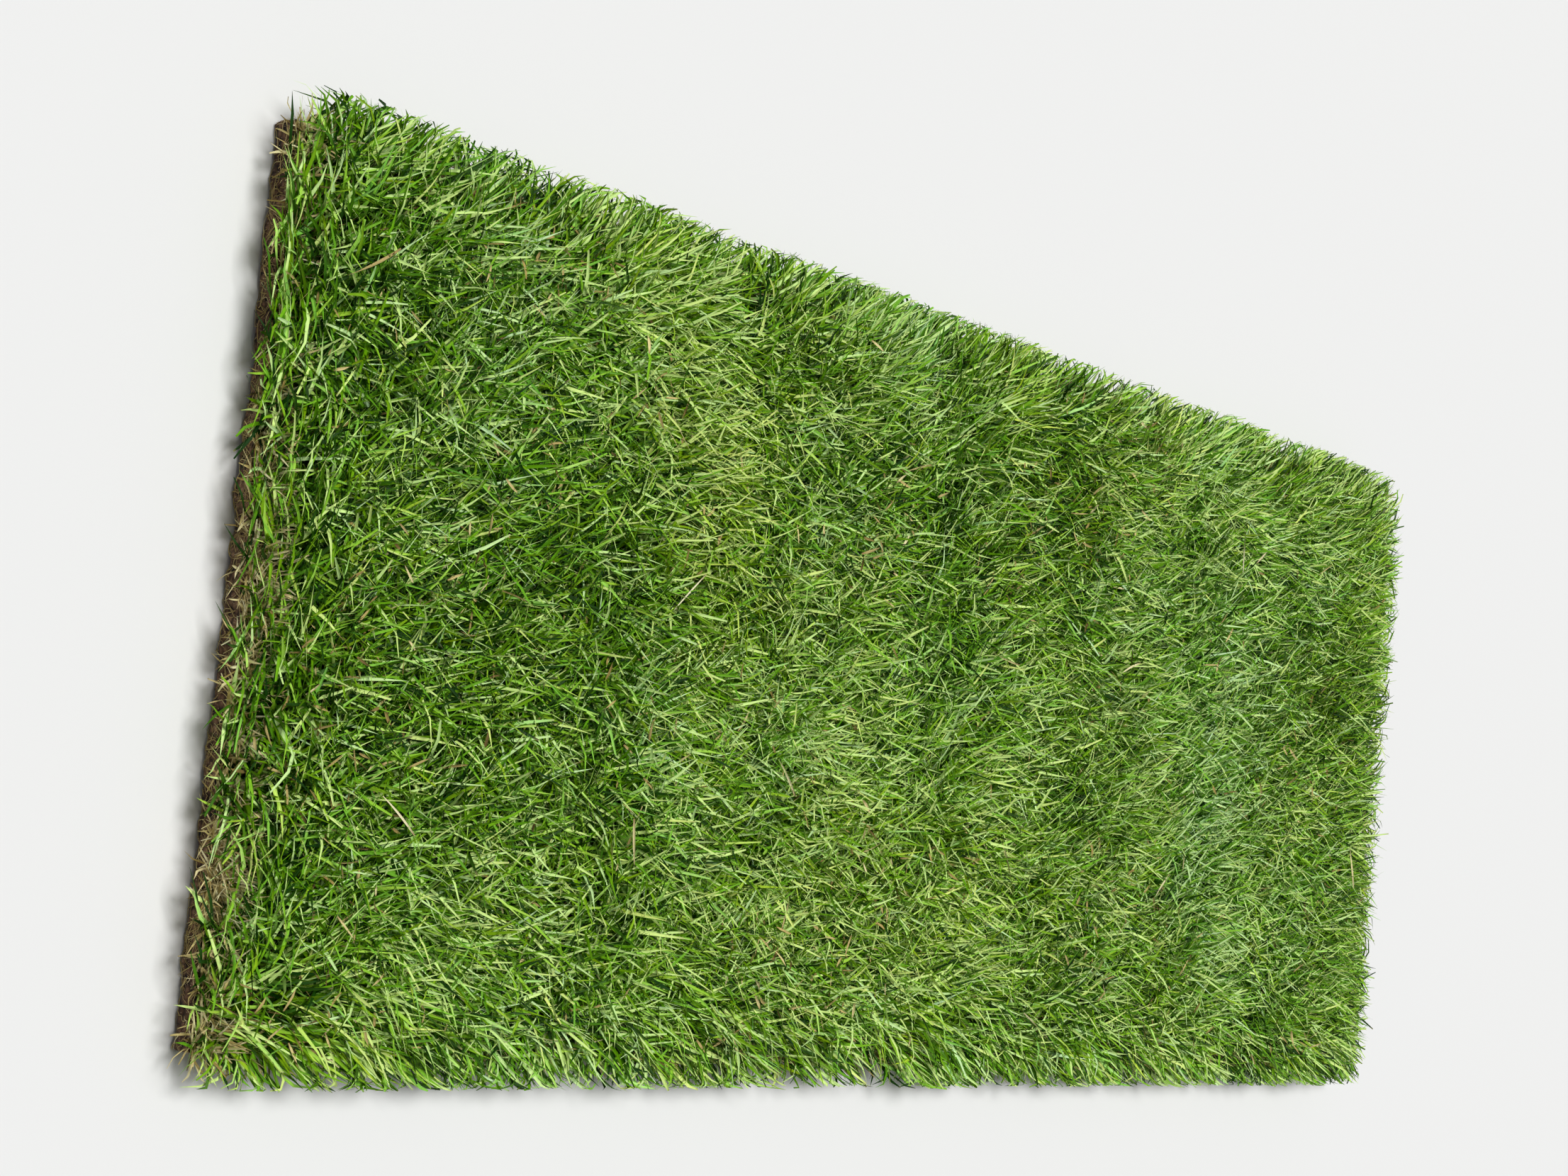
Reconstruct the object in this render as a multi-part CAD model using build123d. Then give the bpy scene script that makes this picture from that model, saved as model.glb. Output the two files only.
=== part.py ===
from build123d import *
from math import cos, pi, sin, sqrt
import os

# One strip of lawn turf, unrolled and lying flat, in millimetres.
# The origin is the middle of the underside. +X runs along the strip, +Y across it and +Z up,
# out of the grass. A mat of soil and roots carries the sward, the solid of the standing grass.

# Outline, as the cutter leaves it
turf_length = 1524.0
turf_width = 610.0
corner_radius = 5.0

# Soil and roots. The lower edge crumbles away, and root growth leaves a slow swell on top.
mat_thickness = 20.0
crumbled_edge = 3.0
swell_height = 1.6
swell_length = 260.0
swell_width = 330.0

# Standing grass, from the top of the soil to where the leaves close over it, seen from above
sward_height = 42.0
root_clearance = 0.3

# Bands across the strip, which the grass keeps from its time in the roll
band_height = 4.4
band_spacing = 205.0
minor_band_height = 2.0
minor_band_spacing = 137.0
band_bow = 34.0

# Tufts, where the grass grew thicker
tuft_height = 2.0
tuft_length = 236.0
tuft_width = 190.0

# Grass that leans out and down over the cut edges
shoulder_width = 64.0
shoulder_drop = 18.0

# Points that carry the spline surfaces: how far apart, how far past the outline, how closely met
soil_point_spacing = 52.0
canopy_point_spacing = 18.0
surface_margin = 9.0
surface_tolerance = 0.1


def wave(position, spacing, phase=0.0):
    """A sine of the given spacing, from -1 to 1."""
    return sin(2 * pi * position / spacing + phase)


def mat_top(x, y):
    """Height of the soil."""
    swell = wave(x, swell_length, 0.4) * cos(2 * pi * y / swell_width + 0.7)
    return mat_thickness + swell_height * swell


def bands(x, y):
    """Height of the bands, which bow a little across the strip, as the roll's turns did."""
    bow = band_bow * (2 * y / turf_width) ** 2
    major = band_height * wave(x + bow, band_spacing, 0.9)
    minor = minor_band_height * wave(x - bow / 2, minor_band_spacing, 2.1)
    return major + minor


def tufts(x, y):
    """Height of the tufts, staggered so that they never line up with the bands."""
    stagger = tuft_length / 3 * wave(y, 3 * tuft_width)
    return tuft_height * wave(x + stagger, tuft_length) * wave(y, tuft_width, 0.8)


def into_shoulder(position, half_extent):
    """0 in the middle of the strip, then rising evenly to 1 at its edge."""
    return max(0.0, 1 - (half_extent - abs(position)) / shoulder_width)


def shoulder_fall(x, y):
    """How far the grass has sunk below its level in the middle, with the corners rounded."""
    along = into_shoulder(x, turf_length / 2)
    across = into_shoulder(y, turf_width / 2)
    return shoulder_drop * sqrt(along**4 + across**4)


def canopy_top(x, y):
    """Height at which the leaves close over."""
    return mat_top(x, y) + sward_height + bands(x, y) + tufts(x, y) - shoulder_fall(x, y)


def spread(extent, spacing):
    """Evenly spaced positions across an extent, passing it by the margin at both ends."""
    reach = extent / 2 + surface_margin
    count = round(2 * reach / spacing)
    return [-reach + 2 * reach * step / count for step in range(count + 1)]


def below(height, spacing, lift=0.0):
    """All that lies under a height field, as one solid with a spline surface for its top."""
    rows = [
        [(x, y, height(x, y) + lift) for y in spread(turf_width, spacing)]
        for x in spread(turf_length, spacing)
    ]
    surface = Face.make_surface_from_array_of_points(rows, tol=surface_tolerance)
    return extrude(surface, amount=2 * (mat_thickness + sward_height), dir=(0, 0, -1))


def outline_prism():
    """The strip's cut outline, standing on the underside and taller than any blade."""
    height = 2 * (mat_thickness + sward_height)
    return extrude(RectangleRounded(turf_length, turf_width, corner_radius), height)


def root_mat():
    """Soil held together by roots: flat below and at its cut sides, swelling above."""
    prism = outline_prism()
    lower_edges = prism.edges().group_by(Axis.Z)[0]
    return chamfer(lower_edges, crumbled_edge) & below(mat_top, soil_point_spacing)


def grass_sward():
    """The space that the blades fill, from just above the soil to where they close over."""
    grass = outline_prism() & below(canopy_top, canopy_point_spacing)
    return grass - below(mat_top, soil_point_spacing, root_clearance)


os.makedirs("parts", exist_ok=True)
nodes = {"root_mat": root_mat(), "grass_sward": grass_sward()}
for name, shape in nodes.items():
    export_step(shape.solid(), f"parts/{name}.step")
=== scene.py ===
"""A strip of lawn turf, unrolled and lying flat: crumbly soil full of roots under dense grass."""

import math
from typing import NamedTuple

import bpy
import numpy as np
from mathutils import Matrix, Vector
from mathutils.bvhtree import BVHTree
from mathutils.geometry import delaunay_2d_cdt


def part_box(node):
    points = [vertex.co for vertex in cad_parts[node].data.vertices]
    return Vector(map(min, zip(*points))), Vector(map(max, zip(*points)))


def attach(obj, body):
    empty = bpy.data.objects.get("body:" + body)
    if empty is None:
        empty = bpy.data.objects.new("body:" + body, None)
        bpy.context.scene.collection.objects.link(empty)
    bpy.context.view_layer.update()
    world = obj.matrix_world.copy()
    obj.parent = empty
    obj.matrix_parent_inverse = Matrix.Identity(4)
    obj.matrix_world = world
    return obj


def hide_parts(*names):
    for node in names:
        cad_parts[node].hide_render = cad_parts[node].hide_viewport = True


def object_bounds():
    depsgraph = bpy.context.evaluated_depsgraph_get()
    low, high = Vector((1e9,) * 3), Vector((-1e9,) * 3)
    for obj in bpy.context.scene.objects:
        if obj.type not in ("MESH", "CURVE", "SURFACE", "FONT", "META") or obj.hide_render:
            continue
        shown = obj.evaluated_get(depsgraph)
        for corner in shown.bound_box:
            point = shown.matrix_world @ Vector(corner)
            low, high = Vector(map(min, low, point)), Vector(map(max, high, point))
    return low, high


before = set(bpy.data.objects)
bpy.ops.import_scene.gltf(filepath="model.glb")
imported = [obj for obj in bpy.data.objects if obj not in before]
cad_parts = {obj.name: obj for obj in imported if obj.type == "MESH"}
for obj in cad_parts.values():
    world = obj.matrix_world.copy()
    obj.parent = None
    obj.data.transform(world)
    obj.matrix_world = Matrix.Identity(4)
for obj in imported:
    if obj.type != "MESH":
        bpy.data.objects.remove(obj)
cad_low, cad_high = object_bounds()

# The strip's outline, from the frame, in metres. Its corners are rounded as in the frame.
mat_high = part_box("root_mat")[1]
half_length = mat_high.x
half_width = mat_high.y
corner_radius = 0.005

# The camera of the photograph, whose picture is 2212 by 1659 pixels and lies on its side:
# its right is up in the world. Its place is against the strip, whose middle is at strip_pixel.
photo_width = 2212
photo_height = 1659
photo_focal = 1661.0
photo_pitch = math.radians(39.0)
photo_heading = math.radians(8.2)
camera_place = Vector((-1.872, -0.155, 1.395))
strip_pixel_x = 1093
strip_pixel_y = 841
zoom = 2.3
sensor_width = 36.0

# Light, at levels under which a white floor would show as 1
floor_colour = (0.8, 0.8, 0.79)
floor_reach = 40.0
fill_colour = (0.96, 0.98, 1.0)
fill_level = 0.17
key_level = 0.92
key_direction = (-0.6, 0.7, 3.2)
key_width = math.radians(22)


class Noise(NamedTuple):
    """A smooth random variation over the strip: its strength, its cells' size and its seed."""

    strength: float
    cell: float
    seed: int

    def at(self, x, y):
        return self.strength * value_noise(x, y, self.cell, self.seed)


class Storey(NamedTuple):
    """One storey of green blades. Its reach is a share of the sward's height. Its light is low in
    the lower storeys as painted shade beneath the top one.
    """

    count: int
    rings: int
    reach: tuple[float, float]
    disorder: float
    widths: tuple[float, float]
    longest: float
    mown_share: float
    light: float


class Litter(NamedTuple):
    """One kind of dry leaf or stem. It rises at a tilt from upright, in degrees."""

    count: int
    rings: int
    lengths: tuple[float, float]
    widths: tuple[float, float]
    tilts: tuple[float, float]
    hue: float
    light: float
    curl: float = 0.5


# Green blades, in storeys from the top down. The lower storeys' low light is painted shade beneath
# the top storey.
storeys = (
    Storey(count=66000, rings=5, reach=(1.0, 1.2), disorder=0.85, widths=(0.0016, 0.0031),
           longest=0.080, mown_share=0.25, light=0.89),
    Storey(count=40000, rings=4, reach=(0.84, 1.14), disorder=0.85, widths=(0.0016, 0.0031),
           longest=0.078, mown_share=0.25, light=0.27),
    Storey(count=22000, rings=3, reach=(0.25, 0.65), disorder=0.7, widths=(0.0024, 0.0040),
           longest=0.040, mown_share=0.3, light=0.05),
)
grass_pieces = 4
root_depth = 0.002
least_sward = 0.01
shortest_share = 0.75

# How far the grass may lean out over the edges and stand above the CAD's top
overhang = 0.020
headroom = 0.0105
lowest_place = 0.0015

# The way that the grass lies over: swirls, eddies in them, and single tufts
swirls = Noise(1.0, 0.25, 11)
eddies = Noise(1.2, 0.085, 12)
usual_lie = 0.42
lie_changes = Noise(0.3, 0.14, 13)
far_lie = 0.12
side_lie = 0.1
disorder_changes = Noise(0.4, 0.11, 15)
tuft_lean_x = Noise(0.35, 0.02, 16)
tuft_lean_y = Noise(0.35, 0.02, 17)
greatest_lean = 1.5

# How a blade stands, in degrees from upright, and what each unit of lean adds
root_tilt = 6
root_tilt_by_lean = 26
tip_tilt = 26
tip_tilt_by_lean = 40
steepest_droop = 125

# Where along a blade it bends, as a power, and the least rise that sets its length
bends = (0.8, 1.8)
least_rise = 0.15

# How blades differ in their tips' tilt and in twist, and how leaves roll and curl, in radians
tip_tilt_spread = 0.3
twist_spread = 0.3
blade_roll_at_root = 0.45
blade_roll_along = 0.8
litter_roll_at_root = 0.8
litter_roll_along = 1.2
usual_curl = 0.3
curl_spread = 0.6

# How a leaf's width changes along it, in shares of its greatest width and of its length. The
# broken share is that of the dry leaves without a point.
base_width = 0.6
widest_place = 0.9
mown_width = 0.75
point_width = 0.06
point_share = 0.35
broken_share = 0.6

# At the edges, the grass leans out and droops
edge_reach = 0.045
end_lean = 0.3
side_lean = 0.6
edge_droop = 0.9

# The bands that the roll left across the strip
band_spacing = 0.205
band_bow = 0.034
band_phase = 0.9
band_strength = 0.6
band_changes = Noise(0.5, 0.2, 14)
band_lean = 0.16
# Painted light and shade: the bands' crests are painted lighter and their hollows darker
band_painted_light = 0.05

# Small open gaps, and the strip's bare ends. The near end's bareness fades from right to left.
gaps = Noise(1.0, 0.02, 26)
gap_blur = 0.3
gap_level = -0.5
bare_end = 0.024
usual_bareness = 0.6
bare_places = Noise(0.9, 0.07, 27)
near_end_bareness = 0.8
near_end_fade = 0.2
far_end_bareness = 0.35

# Colour, from 0 to 1: hue runs from cool to yellow, and light from deep to pale. On green blades
# the deep end is painted shade and the pale end painted sheen.
usual_hue = 0.48
hue_drifts = Noise(0.06, 0.16, 21)
hue_spots = Noise(0.12, 0.05, 22)
light_drifts = Noise(0.06, 0.11, 23)
light_spots = Noise(0.08, 0.04, 24)
tuft_light = Noise(0.16, 0.016, 25)
grass_hue_spread = 0.16
grass_light_spread = 0.29
dry_hue_spread = 0.14
dry_light_spread = 0.2

# Where the grass grew darker, paler or yellower: place along and across, radius, light and hue
patches = (
    (0.38, -0.05, 0.17, 0.12, -0.11),
    (0.70, 0.02, 0.11, -0.16, 0.10),
    (0.60, -0.25, 0.10, -0.08, -0.08),
    (0.10, 0.18, 0.13, -0.17, 0.08),
    (-0.10, 0.12, 0.06, -0.12, 0.0),
    (-0.22, 0.21, 0.06, -0.12, 0.04),
    (-0.07, -0.20, 0.13, 0.0, 0.14),
    (-0.22, -0.05, 0.12, 0.11, 0.0),
    (-0.37, 0.13, 0.10, 0.05, 0.12),
    (-0.46, 0.25, 0.07, 0.12, 0.0),
    (-0.50, 0.03, 0.09, -0.12, 0.0),
    (-0.70, 0.0, 0.26, -0.17, 0.0),
)

# Dry leaves and stems, with the share of the sward's height at which they are caught
thatch = Litter(count=7000, rings=3, lengths=(0.015, 0.035), widths=(0.0010, 0.0022),
                tilts=(20, 85), hue=0.5, light=0.2)
thatch_height = 0.04
edge_straw = Litter(count=9000, rings=4, lengths=(0.010, 0.034), widths=(0.0009, 0.0020),
                    tilts=(15, 95), hue=0.66, light=0.8)
edge_straw_depth = 0.014
edge_straw_level = 0.018
end_straw = Litter(count=9000, rings=4, lengths=(0.014, 0.034), widths=(0.0010, 0.0021),
                   tilts=(2, 75), hue=0.76, light=1.0)
end_straw_depth = 0.017
straw_height = 0.05
brown_leaves = Litter(count=1100, rings=4, lengths=(0.010, 0.022), widths=(0.0012, 0.0026),
                      tilts=(60, 95), hue=0.42, light=0.4)
brown_heights = (0.4, 0.8)
brown_places = Noise(1.0, 0.06, 51)
tan_leaves = Litter(count=1300, rings=4, lengths=(0.006, 0.018), widths=(0.0011, 0.0024),
                    tilts=(50, 88), hue=0.6, light=0.65, curl=0.3)
tan_heights = (0.74, 1.0)
tan_places = Noise(1.0, 0.08, 53)
long_straws = Litter(count=20, rings=6, lengths=(0.030, 0.060), widths=(0.0014, 0.0022),
                     tilts=(84, 89), hue=0.95, light=0.8, curl=0.1)
patch_blur = 0.3
patch_level = 0.35

# Marks on the leaves: a midrib, a base of another colour (on green blades a painted shade near the
# ground), and the share of them with worn tips
midrib_half_width = 0.07
midrib_gain = 0.16
base_share = 0.3
worn_share = 0.28

# How late leaves turn bright, and then pale, as their light rises. On green leaves the pale is
# painted sheen.
bright_power = 1.6
pale_and_sheen_power = 9.0

# Every leaf, stem and root takes its colour from one cell of an atlas, by hue across and light up
atlas_columns = 32
atlas_rows = 16
cell_margin_across = 0.12
cell_margin_along = 0.04

# Soil: how finely its sides, top and underside are cut up
side_spacing = 0.003
side_layers = 9
cap_spacing = 0.009
cap_margin = 0.014

# How its cut sides and lower edge crumble, less so at a corner, and how rough it is elsewhere
clod_depth = 0.0016
clod_size = 0.030
crumb_depth = 0.0012
crumb_size = 0.008
lost_edge_depth = 0.0035
lost_edge_height = 0.005
corner_dent = 0.35
corner_reach = 0.02
rim_sink = 0.0008
top_relief = 0.0006
underside_relief = 0.0005

# Where the soil's sides, underside and top lie in its map, bottom to top
side_rows_start = 0.6
side_row = 0.1
side_row_used = 0.09
underside_rows = (0.0, 0.4)
top_rows = (0.41, 0.59)

# Fine roots on the cut sides
root_count = 2600
root_rings = 8
root_lengths = (0.012, 0.034)
root_widths = (0.0004, 0.0010)
root_heights = (0.004, 0.019)
root_limits = (0.0012, 0.0195)
root_wander = 0.5
root_stand = 0.0004
root_arches = (-0.0004, 0.0012)
root_taper = 0.4
root_hue = 0.72
root_light = 0.5


def value_noise(x, y, cell, seed):
    """Smooth random values from -1 to 1 that change over about one cell."""
    size = 64
    shift_x, shift_y = 17.3, 31.7
    lattice = np.random.default_rng(seed).uniform(-1, 1, (size, size))
    gx = x / cell + shift_x
    gy = y / cell + shift_y
    ix = np.floor(gx).astype(int)
    iy = np.floor(gy).astype(int)
    fx = gx - ix
    fy = gy - iy
    fx = fx * fx * (3 - 2 * fx)
    fy = fy * fy * (3 - 2 * fy)
    here = ix % size, iy % size
    there = (ix + 1) % size, (iy + 1) % size
    low = lattice[here[0], here[1]] * (1 - fx) + lattice[there[0], here[1]] * fx
    high = lattice[here[0], there[1]] * (1 - fx) + lattice[there[0], there[1]] * fx
    return low * (1 - fy) + high * fy


def rough_noise(x, y, cell, seed, octaves=3):
    """Noise with finer noise on it, each octave half as large."""
    total = np.zeros_like(x)
    for octave in range(octaves):
        total += value_noise(x, y, cell / 2**octave, seed + octave) / 2**octave
    return total


class Heights:
    """The upper surface of a CAD node, read on a grid and blended between its points."""

    spacing = 0.008
    inset = 0.002

    def __init__(self, node):
        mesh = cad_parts[node].data
        places = [v.co.copy() for v in mesh.vertices]
        tree = BVHTree.FromPolygons(places, [tuple(p.vertices) for p in mesh.polygons])
        reach_x = half_length - self.inset
        reach_y = half_width - self.inset
        self.xs = np.linspace(-reach_x, reach_x, round(2 * reach_x / self.spacing))
        self.ys = np.linspace(-reach_y, reach_y, round(2 * reach_y / self.spacing))
        down = Vector((0, 0, -1))
        hits = [[tree.ray_cast(Vector((x, y, 1)), down)[0] for y in self.ys] for x in self.xs]
        self.z = np.array([[hit.z if hit else np.nan for hit in row] for row in hits])
        self.z = np.where(np.isnan(self.z), np.nanmin(self.z), self.z)

    def at(self, x, y):
        gx = np.clip((x - self.xs[0]) / (self.xs[1] - self.xs[0]), 0, len(self.xs) - 1.001)
        gy = np.clip((y - self.ys[0]) / (self.ys[1] - self.ys[0]), 0, len(self.ys) - 1.001)
        i = gx.astype(int)
        j = gy.astype(int)
        fx = gx - i
        fy = gy - j
        low = self.z[i, j] * (1 - fx) + self.z[i + 1, j] * fx
        high = self.z[i, j + 1] * (1 - fx) + self.z[i + 1, j + 1] * fx
        return low * (1 - fy) + high * fy


soil_top = Heights("root_mat")
canopy_top = Heights("grass_sward")


def new_object(name, vertices, faces, material, corner_uv=None):
    """A mesh object from arrays: faces are rows of vertex numbers, all of one size."""
    mesh = bpy.data.meshes.new(name)
    mesh.vertices.add(len(vertices))
    mesh.vertices.foreach_set("co", vertices.astype(np.float32).ravel())
    mesh.loops.add(faces.size)
    mesh.loops.foreach_set("vertex_index", faces.astype(np.int32).ravel())
    mesh.polygons.add(len(faces))
    mesh.polygons.foreach_set("loop_start", np.arange(len(faces), dtype=np.int32) * faces.shape[1])
    mesh.update(calc_edges=True)
    mesh.polygons.foreach_set("use_smooth", np.ones(len(faces), bool))
    if corner_uv is not None:
        for map_name in ("cells", "OFBake"):
            layer = mesh.uv_layers.new(name=map_name, do_init=False)
            layer.uv.foreach_set("vector", corner_uv.astype(np.float32).ravel())
        mesh.uv_layers["cells"].active_render = True
    mesh.materials.append(material)
    made = bpy.data.objects.new(name, mesh)
    bpy.context.scene.collection.objects.link(made)
    return made


def add_piece(name, shape, material, node=None):
    """A piece of the turf, on its body. It may stand for a node of the CAD, which is then hidden.
    """
    vertices, faces, corner_uv = shape
    made = new_object(name, vertices, faces, material, corner_uv)
    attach(made, "root")
    if node:
        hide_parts(node)


# Materials

def linear(red, green, blue):
    """A screen colour, 0 to 255, as the linear colour that a shader takes."""
    shares = [value / 255 for value in (red, green, blue)]
    return tuple(s / 12.92 if s <= 0.04045 else ((s + 0.055) / 1.055) ** 2.4 for s in shares)


def new_material(name, roughness, specular):
    """A material with a Principled shader alone. Returns it, its tree and the shader."""
    material = bpy.data.materials.new(name)
    material.use_nodes = True
    shader = material.node_tree.nodes["Principled BSDF"]
    shader.inputs["Roughness"].default_value = roughness
    shader.inputs["Specular IOR Level"].default_value = specular
    return material, material.node_tree, shader


def wire(tree, value, socket):
    """Sets a socket to a number or colour, or links another node's output to it."""
    if isinstance(value, tuple):
        socket.default_value = (*value, 1)
    elif isinstance(value, (int, float)):
        socket.default_value = value
    else:
        tree.links.new(value, socket)


def maths(tree, operation, *values, clamp=False):
    """A Math node's output."""
    made = tree.nodes.new("ShaderNodeMath")
    made.operation = operation
    made.use_clamp = clamp
    for value, socket in zip(values, made.inputs):
        wire(tree, value, socket)
    return made.outputs[0]


def mixed(tree, share, first, second):
    """A colour between two others."""
    made = tree.nodes.new("ShaderNodeMix")
    made.data_type = "RGBA"
    for value, number in ((share, 0), (first, 6), (second, 7)):
        wire(tree, value, made.inputs[number])
    return made.outputs[2]


def dimmed(tree, colour, level):
    """A colour times a number."""
    made = tree.nodes.new("ShaderNodeVectorMath")
    made.operation = "SCALE"
    wire(tree, colour, made.inputs[0])
    wire(tree, level, made.inputs["Scale"])
    return made.outputs[0]


def ramp(tree, share, stops):
    """A colour ramp's output. Stops are pairs of a place and a colour."""
    made = tree.nodes.new("ShaderNodeValToRGB")
    points = made.color_ramp.elements
    while len(points) < len(stops):
        points.new(0.5)
    for point, (place, colour) in zip(points, stops):
        point.position = place
        point.color = (*colour, 1)
    wire(tree, share, made.inputs[0])
    return made.outputs[0]


def texture(tree, kind, coordinates, **settings):
    """A texture node with its inputs set by name."""
    made = tree.nodes.new(kind)
    wire(tree, coordinates, made.inputs["Vector"])
    for name, value in settings.items():
        made.inputs[name].default_value = value
    return made


def bumped(tree, height, strength, distance):
    """A Bump node's normal."""
    made = tree.nodes.new("ShaderNodeBump")
    made.inputs["Strength"].default_value = strength
    made.inputs["Distance"].default_value = distance
    wire(tree, height, made.inputs["Height"])
    return made.outputs[0]


def leaf_finish(name, deep_hues, bright_hues, pale_and_sheen_hues, base, tip, roughness, specular):
    """Leaves with a midrib and fine veins, a base of its own colour, and some worn tips. On green
    leaves that base colour is painted shade, and their palest colour is painted sheen.
    """
    material, tree, shader = new_material(name, roughness, specular)
    uv = tree.nodes.new("ShaderNodeUVMap")
    uv.uv_map = "cells"
    split = tree.nodes.new("ShaderNodeSeparateXYZ")
    wire(tree, uv.outputs[0], split.inputs[0])
    column = maths(tree, "MULTIPLY", split.outputs[0], float(atlas_columns))
    row = maths(tree, "MULTIPLY", split.outputs[1], float(atlas_rows))
    hue = maths(tree, "DIVIDE", maths(tree, "FLOOR", column), float(atlas_columns - 1))
    light = maths(tree, "DIVIDE", maths(tree, "FLOOR", row), float(atlas_rows - 1))
    across = maths(tree, "FRACT", column)
    along = maths(tree, "FRACT", row)

    blotches = texture(tree, "ShaderNodeTexNoise", uv.outputs[0], Scale=300.0, Detail=1.0)
    blotch = maths(tree, "MULTIPLY_ADD", blotches.outputs[0], 0.5, 0.75)
    off_middle = maths(tree, "ABSOLUTE", maths(tree, "SUBTRACT", across, 0.5))
    on_midrib = maths(tree, "LESS_THAN", off_middle, midrib_half_width)
    midrib = maths(tree, "MULTIPLY_ADD", on_midrib, midrib_gain, 1.0)
    brightness = maths(tree, "POWER", light, bright_power)
    colour = mixed(tree, brightness, ramp(tree, hue, deep_hues), ramp(tree, hue, bright_hues))
    # Palest at the top of the light scale: on green leaves this is painted sheen
    paleness_and_sheen = maths(tree, "POWER", light, pale_and_sheen_power)
    colour = mixed(tree, paleness_and_sheen, colour, ramp(tree, hue, pale_and_sheen_hues))
    colour = dimmed(tree, colour, maths(tree, "MULTIPLY", blotch, midrib))

    # Toward the root the colour turns to the base colour: on green leaves a painted shade near the
    # ground
    near_base = maths(tree, "SUBTRACT", 1.0, maths(tree, "DIVIDE", along, base_share), clamp=True)
    colour = mixed(tree, near_base, colour, base)
    cell = tree.nodes.new("ShaderNodeCombineXYZ")
    wire(tree, hue, cell.inputs[0])
    wire(tree, light, cell.inputs[1])
    chance = texture(tree, "ShaderNodeTexWhiteNoise", cell.outputs[0])
    worn = maths(tree, "GREATER_THAN", chance.outputs[0], 1 - worn_share)
    near_tip = maths(tree, "MULTIPLY_ADD", along, 9.0, -8.0, clamp=True)
    colour = mixed(tree, maths(tree, "MULTIPLY", near_tip, worn), colour, tip)
    wire(tree, colour, shader.inputs["Base Color"])

    veins = maths(tree, "SINE", maths(tree, "MULTIPLY", across, 44.0))
    fold = maths(tree, "MULTIPLY_ADD", veins, 0.05, off_middle)
    wire(tree, bumped(tree, fold, 0.7, 0.0018), shader.inputs["Normal"])
    return material


def soil_finish():
    """Moist brown loam in crumbs, with painted shade in the hollows between them, and pale grit."""
    material, tree, shader = new_material("soil", 0.92, 0.25)
    place = tree.nodes.new("ShaderNodeTexCoord").outputs["Object"]
    moisture = texture(tree, "ShaderNodeTexNoise", place, Scale=24.0, Detail=6.0, Roughness=0.65)
    colour = ramp(tree, moisture.outputs[0], [
        (0.34, linear(72, 50, 36)),
        (0.5, linear(122, 92, 68)),
        (0.68, linear(162, 130, 100)),
    ])
    crumbs = texture(tree, "ShaderNodeTexVoronoi", place, Scale=230.0)
    # Painted shade: darker where the crumbs' relief sinks between them
    crevice_shade = maths(tree, "MULTIPLY_ADD", crumbs.outputs["Distance"], -1.5, 1.25, clamp=True)
    colour = dimmed(tree, colour, crevice_shade)
    grit = texture(tree, "ShaderNodeTexVoronoi", place, Scale=520.0)
    grains = maths(tree, "LESS_THAN", grit.outputs["Distance"], 0.17)
    colour = mixed(tree, maths(tree, "MULTIPLY", grains, 0.8), colour, linear(182, 158, 130))
    wire(tree, colour, shader.inputs["Base Color"])
    relief = maths(tree, "MULTIPLY_ADD", crumbs.outputs["Distance"], -0.6, moisture.outputs[0])
    wire(tree, bumped(tree, relief, 0.9, 0.004), shader.inputs["Normal"])
    return material


# The deep greens, taken mostly by the lower storeys, are painted shade as well as darker leaf
deep_greens_and_shade = [
    (0.0, linear(12, 50, 0)),
    (0.35, linear(17, 58, 0)),
    (1.0, linear(40, 72, 0)),
]
bright_greens = [
    (0.0, linear(140, 228, 62)),
    (0.4, linear(148, 230, 8)),
    (1.0, linear(198, 238, 14)),
]
# Painted sheen: the palest green cells stand for the gloss of light on the top blades
sheen_greens = [
    (0.0, linear(210, 246, 188)),
    (0.4, linear(216, 250, 152)),
    (1.0, linear(238, 252, 136)),
]
deep_browns = [
    (0.0, linear(66, 56, 26)),
    (0.5, linear(106, 88, 40)),
    (1.0, linear(176, 152, 88)),
]
bright_browns = [
    (0.0, linear(156, 130, 72)),
    (0.5, linear(206, 180, 102)),
    (1.0, linear(242, 228, 164)),
]
pale_browns = [
    (0.0, linear(192, 168, 110)),
    (0.5, linear(232, 212, 144)),
    (1.0, linear(246, 240, 196)),
]
# Painted shade at the foot of the green blades, near the ground
green_base_shade = linear(46, 78, 4)
worn_tip = linear(184, 180, 120)
dry_end = linear(152, 126, 74)
green_leaf = leaf_finish("green_leaf", deep_greens_and_shade, bright_greens, sheen_greens,
                         green_base_shade, worn_tip, roughness=0.4, specular=0.18)
dry_leaf = leaf_finish("dry_leaf", deep_browns, bright_browns, pale_browns,
                       dry_end, dry_end, roughness=0.6, specular=0.3)
soil_material = soil_finish()


# Soil

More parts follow.
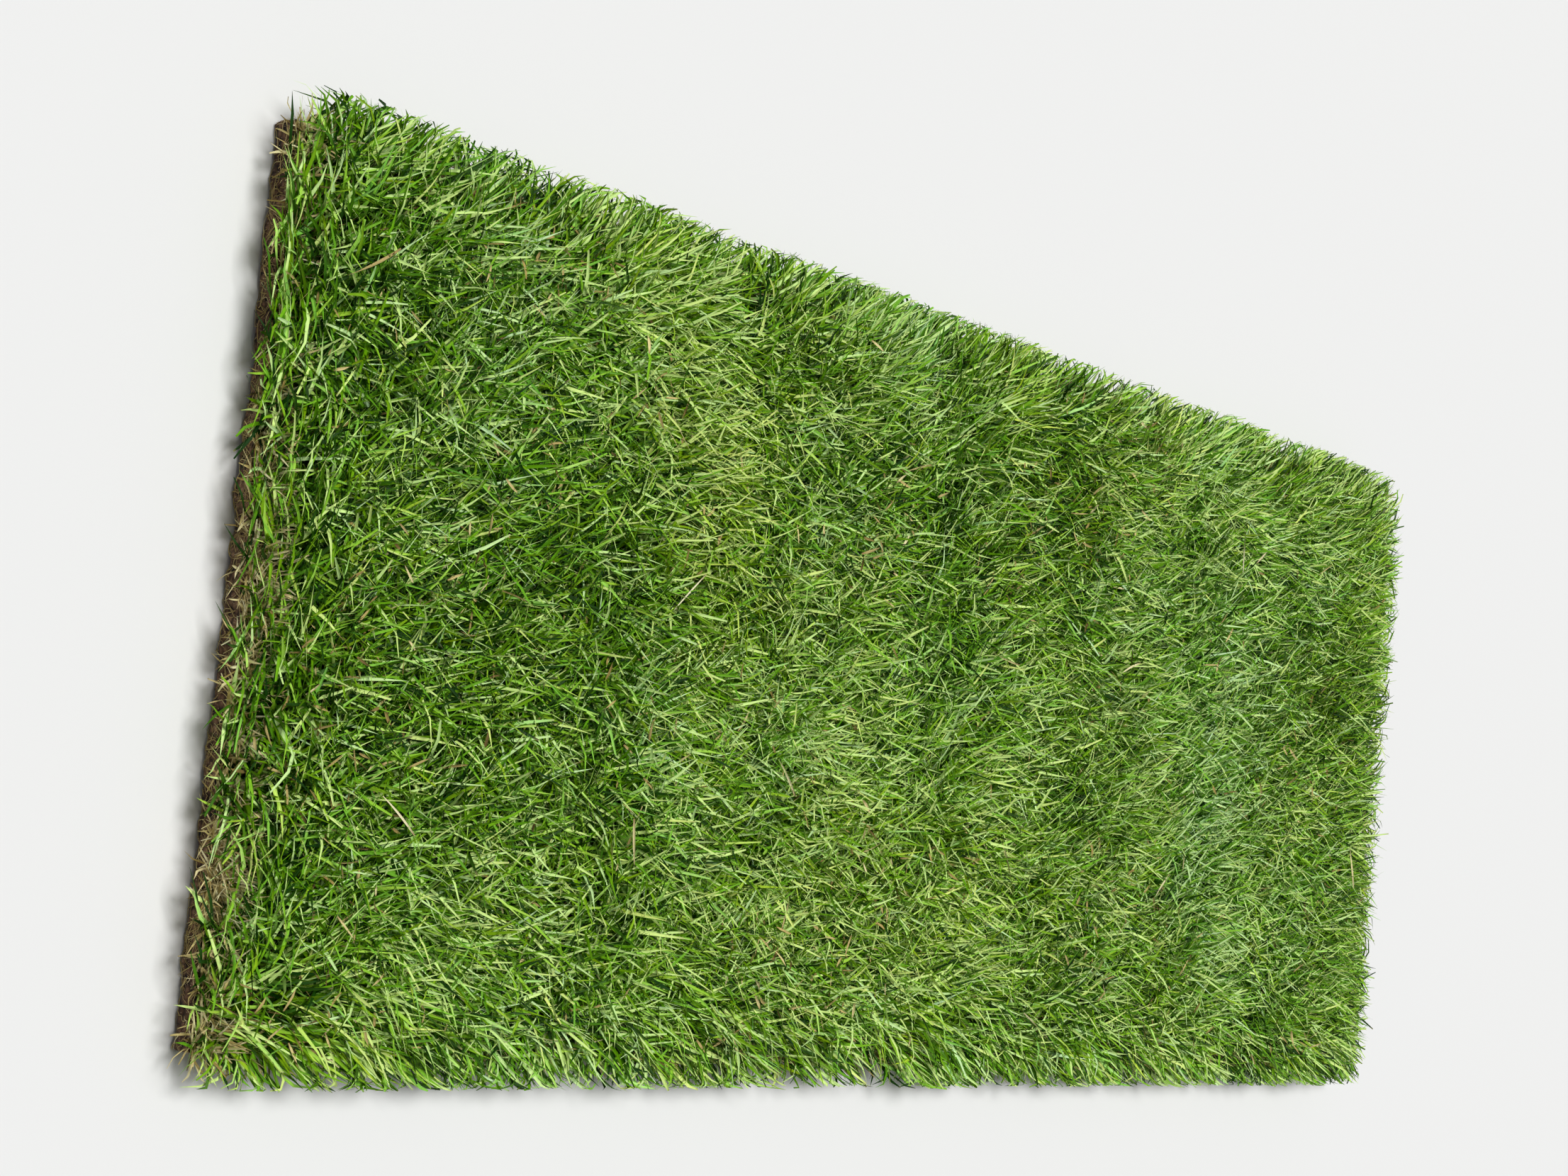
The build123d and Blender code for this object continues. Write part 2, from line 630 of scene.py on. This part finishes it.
def outline():
    """Points around the mat: their places, outward directions, distances round and sides."""
    straight_x = 2 * (half_length - corner_radius)
    straight_y = 2 * (half_width - corner_radius)
    places = []
    normals = []
    sides = []
    corner_steps = 3
    for side, straight in enumerate((straight_x, straight_y, straight_x, straight_y)):
        turn = side * math.pi / 2
        out = np.array([math.sin(turn), -math.cos(turn)])
        along = np.array([math.cos(turn), math.sin(turn)])
        depth = half_width if side % 2 == 0 else half_length
        count = round(straight / side_spacing)
        for step in range(count):
            places.append(out * depth + along * (step / count - 0.5) * straight)
            normals.append(out)
            sides.append(side)
        centre = out * (depth - corner_radius) + along * straight / 2
        for step in range(corner_steps):
            swing = step / corner_steps * math.pi / 2
            normal = out * math.cos(swing) + along * math.sin(swing)
            places.append(centre + normal * corner_radius)
            normals.append(normal)
            sides.append(side)
    places = np.array(places)
    strides = np.linalg.norm(np.roll(places, -1, axis=0) - places, axis=1)
    arc = np.concatenate([[0], np.cumsum(strides)])
    return places, np.array(normals), arc, np.array(sides)


ring_places, ring_normals, ring_arc, ring_sides = outline()
perimeter = ring_arc[-1]


def round_ring(arc, values):
    """Values that are known at the ring's points, blended at other distances round it."""
    return np.interp(arc % perimeter, ring_arc, np.append(values, values[0]))


def dent(arc, z):
    """How far the crumbling side stands back from the outline: most at its lower edge."""
    clods = clod_depth * (1 + rough_noise(arc, z, clod_size, 31))
    crumbs = crumb_depth * (1 + rough_noise(arc, z, crumb_size, 35, 2))
    lost = lost_edge_depth * np.clip(1 - z / lost_edge_height, 0, 1) ** 1.5
    return np.maximum(clods + crumbs, 0) + lost


def outward(arc):
    """The level direction that points out of the mat's side."""
    x, y = (round_ring(arc, values) for values in ring_normals.T)
    return np.stack([x, y, np.zeros_like(x)], -1)


def on_side(arc, z, out=0.0):
    """Places on the mat's side, moved outwards from it. The side crumbles less at a corner."""
    x, y = (round_ring(arc, values) for values in ring_places.T)
    from_corner = np.maximum(half_length - np.abs(x), half_width - np.abs(y))
    crumbling = np.clip(corner_dent + from_corner / corner_reach, 0, 1)
    stand = out - dent(arc % perimeter, z) * crumbling
    return np.stack([x, y, z], -1) + outward(arc) * stand[..., None]


def cap():
    """Triangles that close the outline's ring, and the inner points that they need."""
    rng = np.random.default_rng(3)
    xs = np.arange(cap_margin - half_length, half_length - cap_margin, cap_spacing)
    ys = np.arange(cap_margin - half_width, half_width - cap_margin, cap_spacing)
    inner = np.stack(np.meshgrid(xs, ys, indexing="ij"), -1).reshape(-1, 2)
    inner = inner + rng.uniform(-0.25, 0.25, inner.shape) * cap_spacing
    edges = [(i, (i + 1) % len(ring_places)) for i in range(len(ring_places))]
    flat = [Vector(place) for place in np.concatenate([ring_places, inner])]
    _, _, triangles, origins, _, _ = delaunay_2d_cdt(flat, edges, [], 1, 1e-6)
    number = [origin[0] for origin in origins]
    return inner, np.array([[number[i] for i in triangle] for triangle in triangles])


def soil():
    """The mat: a closed block whose cut sides and lower edge crumble."""
    count = len(ring_places)
    arc = ring_arc[:-1]
    rim_top = soil_top.at(*ring_places.T) - rim_sink
    rim_low = underside_relief * (1 + value_noise(arc, arc, 0.02, 41))
    shares = np.linspace(0, 1, side_layers)
    levels = [share * rim_top + (1 - share) * rim_low for share in shares]
    sides = np.concatenate([on_side(arc, level) for level in levels])

    # Sides, whose colours are kept in four rows at the top of the map
    here = np.arange(count)
    there = (here + 1) % count
    starts = np.append([ring_arc[np.argmax(ring_sides == side)] for side in range(4)], perimeter)
    start = starts[ring_sides]
    span = starts[ring_sides + 1] - start
    u0 = (arc - start) / span
    u1 = (ring_arc[1:] - start) / span
    faces = []
    corner_uv = []
    for layer in range(side_layers - 1):
        low = layer * count
        high = low + count
        v0 = side_rows_start + side_row * ring_sides + side_row_used * shares[layer]
        v1 = side_rows_start + side_row * ring_sides + side_row_used * shares[layer + 1]
        faces.append(np.stack([low + here, low + there, high + there], 1))
        faces.append(np.stack([low + here, high + there, high + here], 1))
        corner_uv.append(np.stack([u0, v0, u1, v0, u1, v1], 1).reshape(-1, 3, 2))
        corner_uv.append(np.stack([u0, v0, u1, v1, u0, v1], 1).reshape(-1, 3, 2))

    # Underside and top, below them in the map
    vertices = [sides]
    total = len(sides)
    inner, upward = cap()
    for top, rim_start, rows in ((False, 0, underside_rows), (True, total - count, top_rows)):
        v_low, v_high = rows
        flat = np.concatenate([sides[rim_start:rim_start + count, :2], inner])
        triangles = upward if top else upward[:, ::-1]
        faces.append(np.where(triangles < count, triangles + rim_start, triangles - count + total))
        place = flat[triangles] / [2 * half_length, 2 * half_width] + 0.5
        corner_uv.append(np.stack([place[..., 0], v_low + (v_high - v_low) * place[..., 1]], -1))
        if top:
            z = soil_top.at(*inner.T) + top_relief * rough_noise(*inner.T, 0.02, 43)
        else:
            z = underside_relief * (1 + value_noise(*inner.T, 0.03, 44))
        vertices.append(np.column_stack([inner, z]))
        total += len(inner)
    shape = np.concatenate(vertices), np.concatenate(faces), np.concatenate(corner_uv)
    add_piece("soil", shape, soil_material, "root_mat")


# Leaves, stems and roots: flat strips, each in one cell of the atlas

def strips(edges, column, row):
    """Vertices, faces and atlas corners of strips. Edges are by strip, ring, edge and axis."""
    count, rings = edges.shape[:2]
    first = np.arange(count)[:, None] * rings * 2 + np.arange(rings - 1) * 2
    faces = np.stack([first, first + 1, first + 3, first + 2], 2).reshape(-1, 4)
    uv = np.empty((count, rings, 2, 2))
    across = np.array([cell_margin_across, 1 - cell_margin_across])
    along = np.linspace(cell_margin_along, 1 - cell_margin_along, rings)
    uv[..., 0] = (column[:, None, None] + across) / atlas_columns
    uv[..., 1] = (row[:, None, None] + along[:, None]) / atlas_rows
    return edges.reshape(-1, 3), faces, uv.reshape(-1, 2)[faces]


def joined(parts):
    """Several sets of vertices, faces and atlas corners as one."""
    starts = np.cumsum([0] + [len(part[0]) for part in parts[:-1]])
    return (np.concatenate([part[0] for part in parts]),
            np.concatenate([part[1] + start for part, start in zip(parts, starts)]),
            np.concatenate([part[2] for part in parts]))


def cells(rng, hue, light, hue_spread, light_spread):
    """Columns and rows of the atlas, near the hue and light that are asked for, 0 to 1."""
    hue = hue + rng.normal(0, hue_spread, hue.shape)
    light = light + rng.normal(0, light_spread, light.shape)
    column = np.clip(hue * atlas_columns, 0, atlas_columns - 1).astype(int)
    row = np.clip(light * atlas_rows, 0, atlas_rows - 1).astype(int)
    return column, row


def scattered(rng, count, inset=0.003):
    """Places spread evenly at random over the strip, a little in from its edges."""
    long = 2 * (half_length - inset)
    wide = 2 * (half_width - inset)
    columns = round(long / math.sqrt(wide * long / count))
    rows = math.ceil(count / columns)
    place = np.arange(columns * rows)
    x = ((place // rows + rng.random(len(place))) / columns - 0.5) * long
    y = ((place % rows + rng.random(len(place))) / rows - 0.5) * wide
    return x, y


def edge_nearness(place, half):
    """0 away from the two edges at plus and minus half, rising to 1 at each, signed outwards."""
    return np.sign(place) * np.clip(1 - (half - np.abs(place)) / edge_reach, 0, 1)


def bent_paths(heading, tilt_root, tilt_tip, twist, bend, rings):
    """Paths of unit length that rise at one tilt from upright and end at another."""
    middles = (np.arange(rings - 1) + 0.5) / (rings - 1)
    tilt = tilt_root[:, None] + (tilt_tip - tilt_root)[:, None] * middles ** bend[:, None]
    facing = heading[:, None] + twist[:, None] * middles
    level = np.sin(tilt)
    direction = np.stack([level * np.cos(facing), level * np.sin(facing), np.cos(tilt)], 2)
    start = np.zeros((len(heading), 1, 3))
    return np.concatenate([start, np.cumsum(direction, 1) / (rings - 1)], 1)


def kept_close(centre):
    """Keeps what leans out close to the strip, above the floor and under the headroom."""
    for axis, half in ((0, half_length), (1, half_width)):
        out = np.abs(centre[..., axis]) - half
        held = np.where(out > 0, overhang * np.tanh(out / overhang), out)
        centre[..., axis] = np.sign(centre[..., axis]) * (half + held)
    centre[..., 2] = np.clip(centre[..., 2], lowest_place, cad_high.z + headroom)
    return centre


def with_width(centre, width, profile, roll, face=(0.0, 0.0, 1.0)):
    """The two edges of each strip along its path. It faces one way, then is rolled."""
    direction = np.gradient(centre, axis=1)
    direction /= np.linalg.norm(direction, axis=2, keepdims=True) + 1e-12
    level = np.cross(direction, face)
    level /= np.linalg.norm(level, axis=2, keepdims=True) + 1e-9
    raised = np.cross(level, direction)
    side = level * np.cos(roll)[..., None] + raised * np.sin(roll)[..., None]
    half_side = side * (profile * width[:, None] / 2)[..., None]
    return np.stack([centre - half_side, centre + half_side], 2)


def leaf_profile(rng, count, rings, mown_share):
    """Width along leaves: some are mown square, the rest run out to a point."""
    steps = np.linspace(0, 1, rings)
    swell = base_width + (1 - base_width) * np.sin(math.pi * np.minimum(steps / widest_place, 1))
    mown = np.where(steps > 0.99, mown_width, 1.0)
    pointed = np.clip((1 - steps) / point_share, point_width, 1) ** 0.8
    cut = rng.random(count) < mown_share
    return np.where(cut[:, None], mown, pointed) * swell


def rolls(rng, count, rings, at_root, along):
    """How far leaves are rolled about their length, which changes evenly along it."""
    steps = np.linspace(0, 1, rings)
    return rng.normal(0, at_root, count)[:, None] + rng.normal(0, along, count)[:, None] * steps


def band(x, y):
    """The bands that the roll left across the strip: about 1 on their crests and -1 between."""
    bow = band_bow * (y / half_width) ** 2
    wave = np.sin(2 * math.pi * (x + bow) / band_spacing + band_phase)
    return wave * (band_strength + band_changes.at(x, y))


def lie(x, y):
    """The way that the grass lies over, as a vector: swirls, slower drifts and the roll's bands."""
    turn = swirls.at(x, y) + eddies.at(x, y)
    strength = usual_lie + lie_changes.at(x, y) + far_lie * x / half_length
    return strength * np.cos(turn) + band_lean * band(x, y), strength * np.sin(turn) + side_lie


def bareness(x, y):
    """How bare the strip's ends are, 0 to 1: in places, and most at the near end's right."""
    share = np.clip(usual_bareness + bare_places.at(x, y), 0.1, 1)
    near_end = np.clip(near_end_bareness - y / near_end_fade, 0.2, 1)
    return share * np.where(x < 0, near_end, far_end_bareness)


def patch_shift(x, y):
    """What the patches add to the light and hue of the grass."""
    light = np.zeros_like(x)
    hue = np.zeros_like(x)
    for patch_x, patch_y, radius, patch_light, patch_hue in patches:
        share = np.exp(-((x - patch_x) ** 2 + (y - patch_y) ** 2) / radius**2)
        light += share * patch_light
        hue += share * patch_hue
    return light, hue


def leans(rng, x, y, disorder):
    """How far and which way each blade leans, and how near it stands to an edge of the strip."""
    count = len(x)
    disorder = disorder * (1 + disorder_changes.at(x, y))
    lie_x, lie_y = lie(x, y)
    out_x = edge_nearness(x, half_length)
    out_y = edge_nearness(y, half_width)
    lean_x = lie_x + disorder * rng.normal(0, 1, count) + tuft_lean_x.at(x, y) + end_lean * out_x
    lean_y = lie_y + disorder * rng.normal(0, 1, count) + tuft_lean_y.at(x, y) + side_lean * out_y
    lean = np.minimum(np.hypot(lean_x, lean_y), greatest_lean)
    return lean, np.arctan2(lean_y, lean_x), np.maximum(np.abs(out_x), np.abs(out_y))


def blades(rng, storey):
    """A storey's blades: their places along the strip, edges, and columns and rows of the atlas."""
    x, y = scattered(rng, storey.count)
    open_ground = gaps.at(x, y) + gap_blur * rng.normal(0, 1, len(x)) < gap_level
    bare = bare_end * bareness(x, y) * rng.random(len(x))
    kept = (half_length - np.abs(x) > bare) & ~open_ground
    x, y = x[kept], y[kept]
    count = len(x)
    rings = storey.rings
    lean, heading, near_edge = leans(rng, x, y, storey.disorder)
    at_root = np.radians(root_tilt) + np.radians(root_tilt_by_lean) * lean
    at_tip = np.radians(tip_tilt) + np.radians(tip_tilt_by_lean) * lean
    at_tip = at_tip + rng.normal(0, tip_tilt_spread, count)
    droop = near_edge * rng.uniform(0, edge_droop, count)
    at_tip = np.clip(at_tip + droop, 0.1, np.radians(steepest_droop))
    twist = rng.normal(0, twist_spread, count)
    path = bent_paths(heading, at_root, at_tip, twist, rng.uniform(*bends, count), rings)

    share = rng.uniform(*storey.reach, count)
    root_z = soil_top.at(x, y) - root_depth
    rise = np.maximum(canopy_top.at(x, y) - root_z, least_sward) * share
    longest = storey.longest * rng.uniform(shortest_share, 1.0, count)
    length = np.minimum(rise / np.maximum(path[:, :, 2].max(1), least_rise), longest)
    root = np.stack([x, y, root_z], 1)
    centre = kept_close(root[:, None] + path * length[:, None, None])
    roll = rolls(rng, count, rings, blade_roll_at_root, blade_roll_along)
    width = rng.uniform(*storey.widths, count)
    edges = with_width(centre, width, leaf_profile(rng, count, rings, storey.mown_share), roll)

    patch_light, patch_hue = patch_shift(x, y)
    hue = usual_hue + patch_hue + hue_drifts.at(x, y) + hue_spots.at(x, y)
    # The storey's light paints shade on the lower storeys, and the bands paint light on their
    # crests and shade between
    light = storey.light + patch_light + band_painted_light * band(x, y) + light_drifts.at(x, y)
    light = light + light_spots.at(x, y) + tuft_light.at(x, y)
    return x, edges, *cells(rng, hue, light, grass_hue_spread, grass_light_spread)


def grass():
    """All the green blades, cut into pieces along the strip."""
    rng = np.random.default_rng(1)
    parts = [[] for _ in range(grass_pieces)]
    for storey in storeys:
        x, edges, column, row = blades(rng, storey)
        share = (x / half_length + 1) / 2
        piece = np.clip(share * grass_pieces, 0, grass_pieces - 1).astype(int)
        for number, part in enumerate(parts):
            mine = piece == number
            part.append(strips(edges[mine], column[mine], row[mine]))
    for number, part in enumerate(parts):
        add_piece(f"grass_{number + 1}", joined(part), green_leaf, "grass_sward")


def litter(rng, x, y, height_share, kind):
    """Dry leaves or stems of one kind, caught at a share of the sward's height, lying every way."""
    count = len(x)
    rings = kind.rings
    tilt = np.radians(rng.uniform(*kind.tilts, count))
    heading = rng.uniform(0, 2 * math.pi, count)
    tilt_end = tilt + kind.curl * rng.normal(usual_curl, curl_spread, count)
    twist = kind.curl * rng.normal(0, 1, count)
    path = bent_paths(heading, tilt, tilt_end, twist, np.ones(count), rings)
    length = rng.uniform(*kind.lengths, count)
    low = soil_top.at(x, y)
    z = low + (canopy_top.at(x, y) - low) * height_share
    centre = kept_close(np.stack([x, y, z], 1)[:, None] + path * length[:, None, None])
    roll = rolls(rng, count, rings, litter_roll_at_root, litter_roll_along)
    width = rng.uniform(*kind.widths, count)
    edges = with_width(centre, width, leaf_profile(rng, count, rings, broken_share), roll)
    hue = np.full(count, kind.hue)
    light = np.full(count, kind.light)
    return strips(edges, *cells(rng, hue, light, dry_hue_spread, dry_light_spread))


def near_edges(rng, count, depth):
    """Places close to the strip's edges, all the way round."""
    arc = rng.uniform(0, perimeter, count)
    rim = on_side(arc, np.full(count, edge_straw_level))
    place = rim - outward(arc) * rng.uniform(0, depth, count)[:, None]
    return place[:, 0], place[:, 1]


def near_ends(rng, count, depth):
    """Places close to the strip's two ends, where these are bare."""
    x = rng.choice([-1, 1], count) * (half_length - rng.uniform(0.002, depth, count))
    y = rng.uniform(-half_width, half_width, count)
    kept = rng.random(count) < bareness(x, y)
    return x[kept], y[kept]


def patchy(rng, count, places):
    """Places all over the strip, gathered where a noise is high. About the count is kept."""
    x, y = scattered(rng, count * 3)
    kept = places.at(x, y) + rng.normal(0, patch_blur, len(x)) > patch_level
    return x[kept], y[kept]


def dry_leaves():
    """Dead leaves and stems: straw at the foot of the grass, brown and tan ones higher up."""
    rng = np.random.default_rng(2)
    parts = []
    x, y = scattered(rng, thatch.count)
    parts.append(litter(rng, x, y, thatch_height, thatch))
    x, y = near_edges(rng, edge_straw.count, edge_straw_depth)
    parts.append(litter(rng, x, y, straw_height, edge_straw))
    x, y = patchy(rng, brown_leaves.count, brown_places)
    parts.append(litter(rng, x, y, rng.uniform(*brown_heights, len(x)), brown_leaves))
    x, y = near_ends(rng, end_straw.count, end_straw_depth)
    parts.append(litter(rng, x, y, straw_height, end_straw))
    x, y = patchy(rng, tan_leaves.count, tan_places)
    parts.append(litter(rng, x, y, rng.uniform(*tan_heights, len(x)), tan_leaves))
    x, y = scattered(rng, long_straws.count)
    parts.append(litter(rng, x, y, 1.0, long_straws))
    add_piece("dry_leaves", joined(parts), dry_leaf)


def roots():
    """Fine pale roots that wander over the cut sides of the mat."""
    rng = np.random.default_rng(4)
    count = root_count
    rings = root_rings
    start = rng.uniform(0, 2 * math.pi, count)[:, None]
    heading = start + np.cumsum(rng.normal(0, root_wander, (count, rings)), 1)
    step = rng.uniform(*root_lengths, count)[:, None] / rings
    arc = rng.uniform(0, perimeter, count)[:, None] + np.cumsum(np.cos(heading), 1) * step
    z = rng.uniform(*root_heights, count)[:, None] + np.cumsum(np.sin(heading), 1) * step
    z = np.clip(z, *root_limits)
    arch = np.sin(np.linspace(0, math.pi, rings))
    out = root_stand + rng.uniform(*root_arches, count)[:, None] * arch
    profile = np.broadcast_to(np.linspace(1, root_taper, rings), (count, rings))
    edges = with_width(on_side(arc, z, out), rng.uniform(*root_widths, count), profile,
                       np.zeros((count, rings)), outward(arc))
    hue = np.full(count, root_hue)
    light = np.full(count, root_light)
    column, row = cells(rng, hue, light, dry_hue_spread, dry_light_spread)
    add_piece("roots", strips(edges, column, row), dry_leaf)


# Camera, floor and light

def camera():
    """The photograph's camera on its side, turned to the strip and given a longer lens."""
    forward = Vector((math.cos(photo_pitch) * math.cos(photo_heading),
                      math.cos(photo_pitch) * math.sin(photo_heading),
                      -math.sin(photo_pitch)))
    right = Vector((math.sin(photo_heading), -math.cos(photo_heading), 0))
    up = right.cross(forward)
    offset_up = (strip_pixel_x - photo_width / 2) / photo_focal
    offset_right = (strip_pixel_y - photo_height / 2) / photo_focal
    aim = (forward + up * offset_up + right * offset_right).normalized()
    up = (up - aim * up.dot(aim)).normalized()
    right = aim.cross(up)
    data = bpy.data.cameras.new("camera")
    data.sensor_width = sensor_width
    data.lens = photo_focal / photo_width * sensor_width * zoom
    made = bpy.data.objects.new("camera", data)
    turned = Matrix((up, -right, -aim)).transposed().to_4x4()
    made.matrix_world = Matrix.Translation(camera_place) @ turned
    bpy.context.scene.collection.objects.link(made)
    bpy.context.scene.camera = made


def studio():
    """A plain pale floor and background, under even light and one wide soft lamp."""
    material, _, shader = new_material("floor", 0.8, 0.3)
    shader.inputs["Base Color"].default_value = (*floor_colour, 1)
    signs = np.array([(-1, -1, 0), (1, -1, 0), (1, 1, 0), (-1, 1, 0)])
    corners = signs * floor_reach
    new_object("floor", corners, np.array([[0, 1, 2, 3]]), material)

    world = bpy.data.worlds.new("world")
    world.use_nodes = True
    tree = world.node_tree
    fill = tree.nodes["Background"]
    fill.inputs["Color"].default_value = (*fill_colour, 1)
    fill.inputs["Strength"].default_value = fill_level
    seen = tree.nodes.new("ShaderNodeBackground")
    seen.inputs["Color"].default_value = (*floor_colour, 1)
    seen.inputs["Strength"].default_value = fill_level + key_level
    rays = tree.nodes.new("ShaderNodeLightPath")
    direct = maths(tree, "MAXIMUM", rays.outputs["Is Camera Ray"], rays.outputs["Is Glossy Ray"])
    direct = maths(tree, "MAXIMUM", direct, rays.outputs["Is Transmission Ray"])
    background = tree.nodes.new("ShaderNodeMixShader")
    wire(tree, direct, background.inputs[0])
    wire(tree, fill.outputs[0], background.inputs[1])
    wire(tree, seen.outputs[0], background.inputs[2])
    wire(tree, background.outputs[0], tree.nodes["World Output"].inputs["Surface"])
    bpy.context.scene.world = world

    toward_lamp = Vector(key_direction).normalized()
    lamp = bpy.data.lights.new("key", "SUN")
    lamp.angle = key_width
    lamp.energy = key_level * math.pi / toward_lamp.z
    made = bpy.data.objects.new("key", lamp)
    made.rotation_euler = toward_lamp.to_track_quat("Z", "Y").to_euler()
    bpy.context.scene.collection.objects.link(made)


camera()
studio()
soil()
grass()
dry_leaves()
roots()
bpy.context.scene.view_settings.view_transform = "Standard"
